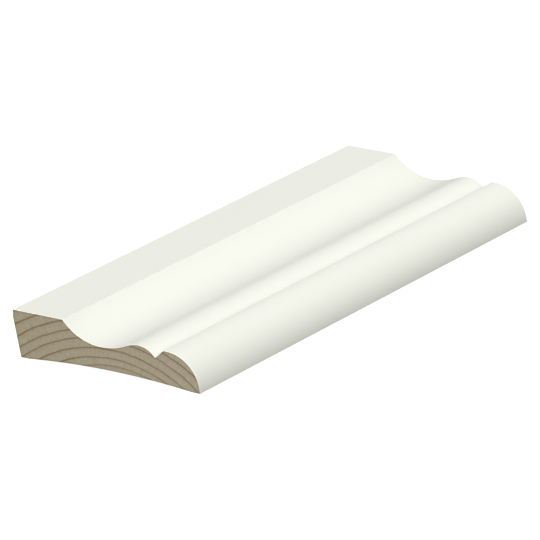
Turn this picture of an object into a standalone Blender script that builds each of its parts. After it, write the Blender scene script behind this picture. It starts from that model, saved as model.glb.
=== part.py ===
"""A short length of moulded timber skirting board, lying on its back.

Units are metres and +Z is up. X runs along the board. The thick edge, which stands on the floor
when the board is fixed to a wall, is at +Y, and the thin edge is at -Y. The origin is in the middle
of the board's box, on the surface that it lies on.

The section is drawn as a flat outline in two numbers: across, from the thick edge's lip towards the
thin edge, and height, from the back. The mouldings have their own sizes, and the flat band takes
the width that they leave, as it does in a family of boards run with the same cutter.
"""

import math

import bmesh
import bpy
from mathutils import Vector

BOARD_LENGTH = 0.200
BOARD_WIDTH = 0.069
BOARD_THICKNESS = 0.0152

# Thick edge: a square lip at the face, undercut behind it so that it can be scribed to a floor.
LIP_HEIGHT = 0.0025
UNDERCUT_DEPTH = 0.0030

# Back: a flat land along each edge, and a shallow hollow between them.
THICK_EDGE_LAND = 0.0028
THIN_EDGE_LAND = 0.0028
HOLLOW_DEPTH = 0.00153

# Face, from the band to the thin edge: cove, straight flank, bead, V quirk and ovolo.
# The cove is two arcs that meet at its lowest line, the second one a little flatter.
COVE_DEPTH = 0.00645
COVE_RADIUS = 0.0187
COVE_FOOT_RADIUS = 0.0226
FLANK_SLOPE = math.radians(21.0)
BEAD_RISE = 0.00302
BEAD_RADIUS = 0.0082
QUIRK_DEPTH = 0.0030
QUIRK_FLANK_SLOPE = math.radians(44.5)
QUIRK_FLANK_RISE = 0.00278
OVOLO_WIDTH = 0.0136
OVOLO_BULGE = 0.0037

# How far a round stretch may stand off its true arc.
CHORD_ERROR = 0.000005

WELD_DISTANCE = 0.000001

PAINT_COLOUR = (0.83, 0.84, 0.79, 1.0)
PAINT_ROUGHNESS = 0.42


def clear_scene():
    for scene_object in list(bpy.data.objects):
        bpy.data.objects.remove(scene_object)


def new_collection(name):
    collection = bpy.data.collections.new(name)
    bpy.context.scene.collection.children.link(collection)
    return collection


def paint_material():
    material = bpy.data.materials.new("white_paint")
    material.use_nodes = True
    shader = material.node_tree.nodes["Principled BSDF"]
    shader.inputs["Base Color"].default_value = PAINT_COLOUR
    shader.inputs["Roughness"].default_value = PAINT_ROUGHNESS
    shader.inputs["Metallic"].default_value = 0.0
    material.diffuse_color = PAINT_COLOUR
    return material


def arc(centre, radius, start, end):
    """Points on a circle from the angle start to the angle end, both included."""
    largest_step = 2 * math.acos(1 - CHORD_ERROR / radius)
    steps = max(2, math.ceil(abs(end - start) / largest_step))
    points = []
    for i in range(steps + 1):
        angle = start + (end - start) * i / steps
        points.append(centre + radius * Vector((math.cos(angle), math.sin(angle))))
    return points


def bulged_arc(start, end, bulge):
    """An arc from start to end that stands off its chord by bulge, to the left of the way it runs."""
    chord = end - start
    half_chord = chord.length / 2
    radius = (half_chord**2 + bulge**2) / (2 * bulge)
    left = Vector((-chord.y, chord.x)).normalized()
    centre = (start + end) / 2 + left * (bulge - radius)
    middle_angle = math.atan2(left.y, left.x)
    half_angle = math.atan2(half_chord, radius - bulge)
    return arc(centre, radius, middle_angle + half_angle, middle_angle - half_angle)


def run_from_crest(radius, drop):
    """How far a circle spreads sideways from its crest once it has dropped by drop."""
    return math.sqrt(2 * radius * drop - drop**2)


def moulded_face():
    """The cove, flank, bead, quirk and ovolo, from the band's arris to the thin edge's tip."""
    turning_drop = (COVE_FOOT_RADIUS + BEAD_RADIUS) * (1 - math.cos(FLANK_SLOPE))
    flank_length = (BEAD_RISE - turning_drop) / math.sin(FLANK_SLOPE)
    cove_run = run_from_crest(COVE_RADIUS, COVE_DEPTH)
    flank_run = flank_length * math.cos(FLANK_SLOPE)
    turning_run = (COVE_FOOT_RADIUS + BEAD_RADIUS) * math.sin(FLANK_SLOPE)
    bead_run = run_from_crest(BEAD_RADIUS, QUIRK_DEPTH)
    quirk_run = QUIRK_FLANK_RISE / math.tan(QUIRK_FLANK_SLOPE)

    tip = Vector((BOARD_WIDTH, 0))
    cove_height = BOARD_THICKNESS - COVE_DEPTH
    bead_crest_height = cove_height + BEAD_RISE
    quirk_across = BOARD_WIDTH - OVOLO_WIDTH - quirk_run
    quirk_bottom = Vector((quirk_across, bead_crest_height - QUIRK_DEPTH))
    bead_centre = Vector((quirk_across - bead_run, bead_crest_height - BEAD_RADIUS))
    cove_across = bead_centre.x - turning_run - flank_run
    cove_centre = Vector((cove_across, cove_height + COVE_RADIUS))
    cove_foot_centre = Vector((cove_across, cove_height + COVE_FOOT_RADIUS))
    band_arris = Vector((cove_across - cove_run, BOARD_THICKNESS))
    ovolo_arris = quirk_bottom + Vector((quirk_run, QUIRK_FLANK_RISE))

    to_arris = band_arris - cove_centre
    to_quirk = quirk_bottom - bead_centre
    straight_down = -math.pi / 2
    straight_up = math.pi / 2
    arris_angle = math.atan2(to_arris.y, to_arris.x)
    quirk_angle = math.atan2(to_quirk.y, to_quirk.x)
    cove = arc(cove_centre, COVE_RADIUS, arris_angle, straight_down)
    cove_foot = arc(
        cove_foot_centre, COVE_FOOT_RADIUS, straight_down, straight_down + FLANK_SLOPE
    )
    bead = arc(bead_centre, BEAD_RADIUS, straight_up + FLANK_SLOPE, quirk_angle)
    ovolo = bulged_arc(ovolo_arris, tip, OVOLO_BULGE)
    # The cove's two arcs share their meeting point, which is kept once.
    return cove + cove_foot[1:] + bead + ovolo


def back_and_thick_edge():
    """From the thin edge's land round to the lip's top corner."""
    hollow_start = Vector((BOARD_WIDTH - THIN_EDGE_LAND, 0))
    hollow_end = Vector((UNDERCUT_DEPTH + THICK_EDGE_LAND, 0))
    # The hollow bulges into the board, which is to the right of the way that the outline runs.
    hollow = bulged_arc(hollow_end, hollow_start, HOLLOW_DEPTH)
    hollow.reverse()
    back_corner = Vector((UNDERCUT_DEPTH, 0))
    lip_bottom = Vector((0, BOARD_THICKNESS - LIP_HEIGHT))
    lip_top = Vector((0, BOARD_THICKNESS))
    return hollow + [back_corner, lip_bottom, lip_top]


def section_outline():
    return moulded_face() + back_and_thick_edge()


def outline_curve(points):
    """The section as a flat curve that fills itself and stands out by half the length each way."""
    curve = bpy.data.curves.new("skirting_section", "CURVE")
    curve.dimensions = "2D"
    curve.fill_mode = "BOTH"
    curve.extrude = BOARD_LENGTH / 2
    spline = curve.splines.new("POLY")
    spline.points.add(len(points) - 1)
    for spline_point, point in zip(spline.points, points, strict=True):
        spline_point.co = (BOARD_WIDTH / 2 - point.x, point.y, 0, 1)
    spline.use_cyclic_u = True
    return curve


def mesh_from_curve(curve, name):
    """The curve as one closed mesh, with its loose end caps welded on and its faces pointing out."""
    guide = bpy.data.objects.new(name + "_guide", curve)
    bpy.context.scene.collection.objects.link(guide)
    graph = bpy.context.evaluated_depsgraph_get()
    mesh = bpy.data.meshes.new_from_object(guide.evaluated_get(graph))
    bpy.data.objects.remove(guide)
    mesh.name = name
    shape = bmesh.new()
    shape.from_mesh(mesh)
    bmesh.ops.remove_doubles(shape, verts=shape.verts, dist=WELD_DISTANCE)
    bmesh.ops.recalc_face_normals(shape, faces=shape.faces)
    shape.to_mesh(mesh)
    shape.free()
    return mesh


def make_skirting_board(collection):
    mesh = mesh_from_curve(outline_curve(section_outline()), "skirting_board")
    board = bpy.data.objects.new("skirting_board", mesh)
    # The section's plane is turned to stand across the board, with its height up.
    board.rotation_euler = (math.radians(90), 0, math.radians(90))
    board.data.materials.append(paint_material())
    mesh.shade_smooth()
    mesh.set_sharp_from_angle(angle=math.radians(12))
    collection.objects.link(board)
    return board


clear_scene()
make_skirting_board(new_collection("skirting_board_parts"))
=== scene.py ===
import math

import bmesh
import bpy
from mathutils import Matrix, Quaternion, Vector


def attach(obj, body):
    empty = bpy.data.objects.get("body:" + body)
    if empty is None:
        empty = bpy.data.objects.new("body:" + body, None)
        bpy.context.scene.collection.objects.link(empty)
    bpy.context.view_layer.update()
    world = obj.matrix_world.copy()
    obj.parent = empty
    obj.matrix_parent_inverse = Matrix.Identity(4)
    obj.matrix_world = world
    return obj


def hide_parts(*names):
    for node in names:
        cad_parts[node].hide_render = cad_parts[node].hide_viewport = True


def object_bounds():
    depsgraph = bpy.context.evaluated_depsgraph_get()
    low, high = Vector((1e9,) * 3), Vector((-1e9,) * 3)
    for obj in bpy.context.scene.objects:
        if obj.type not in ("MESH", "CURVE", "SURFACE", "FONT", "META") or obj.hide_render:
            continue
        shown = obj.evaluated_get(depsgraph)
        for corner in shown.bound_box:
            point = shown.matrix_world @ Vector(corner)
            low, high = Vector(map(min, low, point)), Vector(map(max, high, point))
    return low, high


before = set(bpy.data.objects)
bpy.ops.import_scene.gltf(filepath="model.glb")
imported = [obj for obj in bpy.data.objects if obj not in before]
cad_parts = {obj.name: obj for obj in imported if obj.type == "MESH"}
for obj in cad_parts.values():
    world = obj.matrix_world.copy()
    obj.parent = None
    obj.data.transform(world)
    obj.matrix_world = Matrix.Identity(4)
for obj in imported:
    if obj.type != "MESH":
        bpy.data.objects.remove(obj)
cadLow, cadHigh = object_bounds()
print("frame loaded")

# Metres. X runs along the board, Y across it with the thick edge at +Y, and Z is up.
mm = 0.001


class Wire:
    # a socket that takes part in Python expressions
    def __init__(self, tree, socket=None):
        self.tree = tree
        self.socket = socket

    def node(self, kind, settings=None, inputs=None, output=0):
        made = self.tree.nodes.new(kind)
        for name, value in (settings or {}).items():
            if name == "stops":
                setStops(made.color_ramp, value)
            else:
                setattr(made, name, value)
        for name, value in (inputs or {}).items():
            if isinstance(value, Wire):
                self.tree.links.new(value.socket, made.inputs[name])
            else:
                made.inputs[name].default_value = value
        return Wire(self.tree, made.outputs[output])

    def out(self, name):  # another output of the same node
        return Wire(self.tree, self.socket.node.outputs[name])

    def math(self, operation, *values):
        return self.node("ShaderNodeMath", {"operation": operation}, dict(enumerate(values)))

    def __add__(self, other):
        return self.math("ADD", self, other)

    def __radd__(self, other):
        return self.math("ADD", other, self)

    def __sub__(self, other):
        return self.math("SUBTRACT", self, other)

    def __rsub__(self, other):
        return self.math("SUBTRACT", other, self)

    def __mul__(self, other):
        return self.math("MULTIPLY", self, other)

    def __rmul__(self, other):
        return self.math("MULTIPLY", other, self)

    def __truediv__(self, other):
        return self.math("DIVIDE", self, other)

    def __pow__(self, other):
        return self.math("POWER", self, other)


def setStops(ramp, stops):
    # a new ramp has two stops, which take the first and the last place
    places = sorted(stops)
    ramp.elements[0].position = places[0]
    ramp.elements[1].position = places[-1]
    for place in places[1:-1]:
        ramp.elements.new(place)
    for element, place in zip(ramp.elements, places):
        value = stops[place]
        element.color = (value, value, value, 1)


def rampOf(value, stops):
    return value.node("ShaderNodeValToRGB", {"stops": stops}, {"Fac": value})


def between(value, low, high):
    # 0 below low, 1 above high, and a smooth step between them
    settings = {"interpolation_type": "SMOOTHSTEP"}
    inputs = {"Value": value, "From Min": low, "From Max": high}
    return value.node("ShaderNodeMapRange", settings, inputs)


def blend(mask, first, second):
    settings = {"data_type": "RGBA"}
    return mask.node("ShaderNodeMix", settings, {0: mask, 6: first, 7: second}, 2)


def axesOf(wire, kind, output):
    # the X, Y and Z of a place or of a normal, as three outputs
    return wire.node("ShaderNodeSeparateXYZ", None, {"Vector": wire.node(kind, output=output)})


def grain(wire, place, scale, detail=2.0, roughness=0.5):
    # noise from 0 to 1, with scale blotches to a mm in each direction of place
    spot = {i: value * times for i, (value, times) in enumerate(zip(place, scale))}
    inputs = {
        "Vector": wire.node("ShaderNodeCombineXYZ", None, spot),
        "Scale": 1.0,
        "Detail": detail,
        "Roughness": roughness,
    }
    return wire.node("ShaderNodeTexNoise", None, inputs)


def newMaterial(name, colour, roughness):
    material = bpy.data.materials.new(name)
    material.use_nodes = True
    material.diffuse_color = (*colour, 1)
    surface = material.node_tree.nodes["Principled BSDF"]
    surface.inputs["Roughness"].default_value = roughness
    return material, surface, Wire(material.node_tree)


def feed(surface, name, wire):
    wire.tree.links.new(wire.socket, surface.inputs[name])


def bump(surface, height, depth):
    # height runs from 0 to 1 and stands for depth metres
    inputs = {"Height": height, "Distance": depth, "Strength": 1.0}
    feed(surface, "Normal", height.node("ShaderNodeBump", None, inputs))


timber = dict(
    early=(0.377, 0.327, 0.241),  # the pale wood between two rings
    late=(0.217, 0.126, 0.058),  # the dark line of a ring
    roughness=0.78,
    roughnessVary=0.12,
    pithAcross=-2.0,  # the middle of the tree, in mm from the middle of the board at the near cut end
    pithHeight=-40.0,
    pithWander=(1.6, 2.6),  # mm that it moves across and up, from the near end to the far end
    rings={  # radius in mm: how far the ring leans to the thin edge
        39.9: 2.6, 43.3: 1.7, 45.55: 0.4, 48.4: -0.3, 51.6: -0.6,
        54.5: -0.5, 57.9: 0.0, 61.3: 0.0, 64.8: 0.0, 68.4: 0.0,
    },
    leans=(-1.0, 3.0),  # every lean lies between these two
    roundRing=48.0,  # the truest circle, and a ring further in or out is flatter
    flatter=0.04,
    flatterFrom=0.906,  # a flatter ring crosses its circle where the height is this share of the radius
    waver=0.26,  # mm that a ring strays in and out
    waverGrain=dict(scale=(0.012, 0.17, 0.17), detail=1.0),
    ringShape={  # 0 is early wood and 1 is late wood, from one ring to the next
        0.0: 1.0, 0.04: 0.9, 0.11: 0.0, 0.55: 0.0,
        0.80: 0.10, 0.885: 0.24, 0.965: 1.0, 1.0: 1.0,
    },
    ringDepth=(0.62, 0.46),  # the least depth of a ring's dark line, and what the clouds add
    innerFaint=(43.6, 45.0, 0.25),  # the rings inside these radii are fainter by this share
    rays=dict(scale=(1.5, 0.28, 0.025), detail=3.0, roughness=0.6),
    cells=dict(scale=(2.4, 1.8, 0.14), detail=2.0, roughness=0.7),
    clouds=dict(scale=(0.13, 0.16, 0.02), detail=1.0),
    streak=0.28,  # how much the rays lighten and darken the wood
    fleck=0.42,  # and how much the cells do
    flecked=(0.85, 1.0, 1.5),  # the share of both that goes to red, green and blue
    paler=0.09,  # how much paler the thin edge is than the thick edge
    rimDark=0.27,  # how near the crushed fibres round a cut end come to the dark of a ring
    rimFade=0.2,  # the inner share of that rim over which it fades
    sawPitch=0.9,  # mm between the saw's marks
    sawCentre=(60.0, 150.0),  # mm across and up to the middle of the saw's blade
    sawWander=6.0,  # radians that the clouds push the marks along
    knifePitch=1.7,  # mm between the planer's marks on the back
    endFacing=(0.6, 0.8),  # how far a face looks along the board where the saw's marks fade in
    backFacing=(0.5, 0.9),  # and how far it looks down where the planer's do
    relief=0.05 * mm,
    reliefShares=dict(late=0.25, cells=0.5, saw=0.07, knife=0.10),
)


def ringPattern(wire):
    # along, the way round the tree, and the radius, all in mm, with the late wood from 0 to 1
    place = axesOf(wire, "ShaderNodeTexCoord", "Object")
    along = (place.out("X") - cadLow.x) / mm
    share = along * (mm / (cadHigh.x - cadLow.x))
    across = place.out("Y") / mm - timber["pithAcross"] - share * timber["pithWander"][0]
    height = place.out("Z") / mm - timber["pithHeight"] - share * timber["pithWander"][1]
    radius = wire.math("SQRT", across * across + height * height)

    sizes = sorted(timber["rings"])
    last = len(sizes) - 1
    first = sizes[0]
    reach = sizes[-1] - first
    least, most = timber["leans"]
    leans = {}
    for size, lean in timber["rings"].items():
        leans[(size - first) / reach] = (lean - least) / (most - least)
    lean = rampOf((radius - first) / reach, leans) * (most - least) + least
    flatter = (radius - timber["roundRing"]) ** 2 * timber["flatter"]
    waver = grain(wire, (along, across, height), **timber["waverGrain"]) - 0.5
    ring = radius + lean * across / radius + flatter * (height / radius - timber["flatterFrom"])
    ring = ring + waver * (2 * timber["waver"])
    counts = {(size - first) / reach: i / last for i, size in enumerate(sizes)}
    count = rampOf((ring - first) / reach, counts) * last
    late = rampOf(wire.math("FRACT", count), timber["ringShape"])
    around = wire.math("ARCTAN2", across, height) * sizes[len(sizes) // 2]
    return along, around, radius, late


def barePine():
    material, surface, wire = newMaterial("bare_pine", timber["early"], timber["roughness"])
    along, around, radius, late = ringPattern(wire)
    place = axesOf(wire, "ShaderNodeTexCoord", "Object")
    facing = axesOf(wire, "ShaderNodeNewGeometry", "Normal")
    rays = grain(wire, (around, radius, along), **timber["rays"])
    cells = grain(wire, (around, radius, along), **timber["cells"])
    clouds = grain(wire, (around, radius, along), **timber["clouds"])

    least, added = timber["ringDepth"]
    inside, outside, faint = timber["innerFaint"]
    depth = (least + clouds * added) * (1 - faint * (1 - between(radius, inside, outside)))
    rim = wire.node("ShaderNodeAttribute", {"attribute_name": "rim"}, output="Fac")
    rim = between(rim, 0.0, timber["rimFade"])
    dark = late * depth + rim * (0.5 + clouds) * timber["rimDark"]
    wood = blend(dark, (*timber["early"], 1), (*timber["late"], 1))
    vary = (rays - 0.5) * (2 * timber["streak"]) + (cells - 0.5) * (2 * timber["fleck"])
    vary = vary - place.out("Y") * (timber["paler"] / (cadHigh.y - cadLow.y))
    tint = {i: 1 + vary * share for i, share in enumerate(timber["flecked"])}
    settings = {"data_type": "RGBA", "blend_type": "MULTIPLY"}
    inputs = {0: 1.0, 6: wood, 7: wire.node("ShaderNodeCombineColor", None, tint)}
    feed(surface, "Base Color", wire.node("ShaderNodeMix", settings, inputs, 2))
    feed(surface, "Roughness", timber["roughness"] + (cells - 0.5) * timber["roughnessVary"])

    sawAcross = place.out("Y") / mm - timber["sawCentre"][0]
    sawHeight = place.out("Z") / mm - timber["sawCentre"][1]
    sawn = wire.math("SQRT", sawAcross * sawAcross + sawHeight * sawHeight)
    sawMarks = wire.math("SINE", sawn * (2 * math.pi / timber["sawPitch"]) + clouds * timber["sawWander"])
    knifeMarks = wire.math("SINE", along * (2 * math.pi / timber["knifePitch"]))
    atEnd = between(wire.math("ABSOLUTE", facing.out("X")), *timber["endFacing"])
    atBack = between(facing.out("Z") * -1, *timber["backFacing"])
    shares = timber["reliefShares"]
    height = 0.5 + late * shares["late"] + (cells - 0.5) * shares["cells"]
    height = height + sawMarks * atEnd * shares["saw"] + knifeMarks * atBack * shares["knife"]
    bump(surface, height, timber["relief"])
    return material


paint = dict(
    colour=(0.808, 0.810, 0.762),
    cloud=0.008,  # the share by which its clouds go to either side of their mean
    cutWhiteAndHighlight=(0.93, 0.93, 0.89),  # the film's cut face is whiter: partly the cleaner primer where the saw went through it, partly a painted highlight along the cut edge
    cutFacing=(0.15, 0.6),  # how far a face looks along the board where that whiter colour and painted highlight fade in
    roughness=0.60,
    roughnessVary=0.06,
    clouds=dict(scale=(0.03, 0.12, 0.12)),
    drag=dict(scale=(0.05, 2.2, 2.2)),  # the marks of a brush, along the board
    peel=dict(scale=(0.8, 0.9, 0.9)),
    relief=0.012 * mm,
    reliefShares=dict(drag=0.35, peel=0.5, late=0.15),
    thick=0.12 * mm,
    eased=0.20 * mm,  # radius of a painted arris
    pooled=0.25 * mm,  # radius in the bottom of the quirk
    easeSteps=4,
    cutRound=0.11 * mm,  # radius of the film's outer edge, at the cut ends and where the paint stops
    cutAngle=math.radians(60),  # only that edge is sharper than this
    cutSteps=2,
)


def whitePaint():
    material, surface, wire = newMaterial("painted_pine", paint["colour"], paint["roughness"])
    along, _, _, late = ringPattern(wire)
    place = axesOf(wire, "ShaderNodeTexCoord", "Object")
    facing = axesOf(wire, "ShaderNodeNewGeometry", "Normal")
    brushed = (along, place.out("Y") / mm, place.out("Z") / mm)
    clouds = grain(wire, brushed, **paint["clouds"])
    drag = grain(wire, brushed, **paint["drag"])
    peel = grain(wire, brushed, **paint["peel"])

    duller = tuple(value * (1 - 2 * paint["cloud"]) for value in paint["colour"])
    colour = blend(clouds, (*paint["colour"], 1), (*duller, 1))
    # painted highlight: the film's cut faces get a whiter colour that stands partly for its primer and
    # partly for light on the cut edge
    cutWhiteAndHighlightMask = between(wire.math("ABSOLUTE", facing.out("X")), *paint["cutFacing"])
    feed(surface, "Base Color", blend(cutWhiteAndHighlightMask, colour, (*paint["cutWhiteAndHighlight"], 1)))
    feed(surface, "Roughness", paint["roughness"] + (peel - 0.5) * paint["roughnessVary"])
    shares = paint["reliefShares"]
    height = drag * shares["drag"] + peel * shares["peel"] + late * shares["late"]
    bump(surface, height, paint["relief"])
    return material


board = dict(
    node="skirting_board",
    weld=0.001 * mm,
    flat=math.radians(0.05),  # facets closer than this are one flat face
    arris=math.radians(12),  # sharper than any step between two facets of a moulding
    smooth=math.radians(40),  # an edge of a finished piece that is sharper than this is not smoothed
    paintLimit=-0.1,  # a face that leans down by more than this is bare
    cutLimit=0.5,  # a face that looks along the board by more than this is a cut end
    rim=0.55 * mm,  # width of the dark line round a cut end
)


def isPainted(face):
    return face.normal.z > board["paintLimit"]


def isCut(face):
    return abs(face.normal.x) > board["cutLimit"]


def openBoard(easePainted):
    # a copy of the solid with its facets merged and both cut ends taken off
    tube = bmesh.new()
    tube.from_mesh(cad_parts[board["node"]].data)
    bmesh.ops.remove_doubles(tube, verts=tube.verts, dist=board["weld"])
    bmesh.ops.dissolve_limit(tube, angle_limit=board["flat"], verts=tube.verts, edges=tube.edges)
    arrises = longArrises(tube)
    easeEdges(tube, [edge for edge in arrises if not edge.is_convex], paint["pooled"])
    if easePainted:
        easeEdges(tube, [edge for edge in arrises if edge.is_valid and edge.is_convex], paint["eased"])
    ends = [face for face in tube.faces if isCut(face)]
    bmesh.ops.delete(tube, geom=ends, context="FACES")
    bmesh.ops.recalc_face_normals(tube, faces=tube.faces)
    return tube


def longArrises(tube):
    # without the two lines where the paint stops
    found = []
    for edge in tube.edges:
        one, other = edge.link_faces
        if isCut(one) or isCut(other) or isPainted(one) != isPainted(other):
            continue
        if edge.calc_face_angle() > board["arris"]:
            found.append(edge)
    return found


def easeEdges(shape, edges, radius):
    for edge in edges:
        offset = radius * math.tan(edge.calc_face_angle() / 2)
        roundEdges(shape, [edge], offset, paint["easeSteps"])


def roundEdges(shape, edges, offset, steps):
    bmesh.ops.bevel(
        shape, geom=edges, offset=offset, offset_type="OFFSET", affect="EDGES",
        segments=steps, profile=0.5, material=-1,
    )


def sinkFaces(faces, depth):
    # every face goes in by the same depth, along the normals of these faces alone
    moves = {}
    for face in faces:
        for vert in face.verts:
            moves.setdefault(vert, []).append(face.normal.copy())
    for vert, normals in moves.items():
        middle = sum(normals, Vector()).normalized()
        vert.co -= middle * (depth / middle.dot(normals[0]))
        vert.co.z = max(vert.co.z, cadLow.z)  # the thin edge's tip slides along the back


def addObject(name, data):
    added = bpy.data.objects.new(name, data)
    bpy.context.scene.collection.objects.link(added)
    return added


def meshFrom(shape, name, material):
    mesh = bpy.data.meshes.new(name)
    shape.to_mesh(mesh)
    shape.free()
    mesh.materials.append(material)
    return mesh


def finishPiece(shape, name, material):
    bmesh.ops.recalc_face_normals(shape, faces=shape.faces)
    mesh = meshFrom(shape, name, material)
    mesh.shade_smooth()
    mesh.set_sharp_from_angle(angle=board["smooth"])
    piece = addObject(name, mesh)
    weighted = piece.modifiers.new("keep flats flat", "WEIGHTED_NORMAL")
    weighted.keep_sharp = True
    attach(piece, "root")
    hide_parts(board["node"])
    print(name, "has", len(mesh.polygons), "faces")


def makeTimber():
    core = openBoard(False)
    rim = core.verts.layers.float.new("rim")
    sinkFaces([face for face in core.faces if isPainted(face)], paint["thick"])
    openEdges = [edge for edge in core.edges if edge.is_boundary]
    caps = bmesh.ops.holes_fill(core, edges=openEdges, sides=0)["faces"]
    bmesh.ops.inset_region(core, faces=caps, thickness=board["rim"], use_even_offset=True)
    inner = {vert for cap in caps for vert in cap.verts}
    for vert in core.verts:
        vert[rim] = 0.0 if vert in inner else 1.0
    finishPiece(core, "pine_core", barePine())


def makeCoat():
    coat = openBoard(True)
    bare = [face for face in coat.faces if not isPainted(face)]
    bmesh.ops.delete(coat, geom=bare, context="FACES")
    skin = list(coat.faces)
    made = bmesh.ops.extrude_face_region(coat, geom=skin, use_keep_orig=True)["geom"]
    inside = [item for item in made if isinstance(item, bmesh.types.BMFace)]
    coat.normal_update()
    sinkFaces(inside, paint["thick"])
    bmesh.ops.recalc_face_normals(coat, faces=coat.faces)
    outside = set(skin)
    cut = []
    for edge in coat.edges:
        if edge.calc_face_angle() > paint["cutAngle"] and not outside.isdisjoint(edge.link_faces):
            cut.append(edge)
    roundEdges(coat, cut, paint["cutRound"], paint["cutSteps"])
    finishPiece(coat, "paint_coat", whitePaint())


makeTimber()
makeCoat()

studio = dict(
    floorSide=8.0,
    floorColour=(0.25, 0.25, 0.25),
    floorRoughness=0.9,
    floorGlow=0.96,  # the floor is a lit table, so that shadows on it stay faint
    floorGap=0.02 * mm,
    keyFrom=(-0.72, -0.408, 0.561),
    keyStrength=3.16,
    keySpread=math.radians(60),
    fills={"back_fill": (0, 1, 0), "end_fill": (1, 0, 0)},  # level light on the sides away from the key
    fillStrength=2.2,
    fillSpread=math.radians(2),
    lampColour=(0.978, 1.000, 0.938),
    zenith=(0.762, 0.762, 0.762),
    horizon=(0.050, 0.050, 0.050),
    ground=(0.050, 0.050, 0.050),
    skyline=0.05,  # half the height over which the ground turns into sky
)


def makeFloor():
    material, surface, _ = newMaterial("pale_floor", studio["floorColour"], studio["floorRoughness"])
    surface.inputs["Base Color"].default_value = (*studio["floorColour"], 1)
    surface.inputs["Specular IOR Level"].default_value = 0.0
    surface.inputs["Emission Color"].default_value = (1, 1, 1, 1)
    surface.inputs["Emission Strength"].default_value = studio["floorGlow"]
    plane = bmesh.new()
    bmesh.ops.create_grid(plane, x_segments=1, y_segments=1, size=studio["floorSide"] / 2)
    bmesh.ops.translate(plane, verts=plane.verts, vec=(0, 0, cadLow.z - studio["floorGap"]))
    floor = addObject("floor", meshFrom(plane, "floor", material))
    floor.visible_diffuse = False
    floor.visible_glossy = False


def addSun(name, origin, strength, spread):
    sun = bpy.data.lights.new(name, "SUN")
    sun.energy = strength
    sun.color = studio["lampColour"]
    sun.angle = spread
    lamp = addObject(name, sun)
    lamp.rotation_mode = "QUATERNION"
    lamp.rotation_quaternion = Vector(origin).to_track_quat("Z", "Y")
    return lamp


def makeLights():
    addSun("key", studio["keyFrom"], studio["keyStrength"], studio["keySpread"])
    for name, origin in studio["fills"].items():
        fill = addSun(name, origin, studio["fillStrength"], studio["fillSpread"])
        fill.visible_glossy = False  # no sheen on the face, which they only graze
    world = bpy.data.worlds.new("studio")
    world.use_nodes = True
    up = axesOf(Wire(world.node_tree), "ShaderNodeTexCoord", "Generated").out("Z")
    sky = blend(up, (*studio["horizon"], 1), (*studio["zenith"], 1))
    aboveGround = between(up, -studio["skyline"], studio["skyline"])
    feed(world.node_tree.nodes["Background"], "Color", blend(aboveGround, (*studio["ground"], 1), sky))
    bpy.context.scene.world = world


photo = dict(
    azimuth=math.radians(-57.99),
    elevation=math.radians(18.392),
    distance=2.2452,
    aim=(-0.0003, 0.0026, 0.0053),
    lens=467.93,
    roll=math.radians(-0.157),
    sight=20.0,  # metres that the camera sees
)


def makeCamera():
    lens = bpy.data.cameras.new("camera")
    lens.lens = photo["lens"]
    lens.clip_end = photo["sight"]
    camera = addObject("camera", lens)
    level = math.cos(photo["elevation"])
    back = Vector((
        math.sin(photo["azimuth"]) * level,
        -math.cos(photo["azimuth"]) * level,
        math.sin(photo["elevation"]),
    ))
    camera.location = Vector(photo["aim"]) + back * photo["distance"]
    camera.rotation_mode = "QUATERNION"
    camera.rotation_quaternion = Quaternion(back, photo["roll"]) @ (-back).to_track_quat("-Z", "Y")
    bpy.context.scene.camera = camera


makeFloor()
makeLights()
makeCamera()
bpy.context.scene.view_settings.view_transform = "Standard"
print("studio ready")
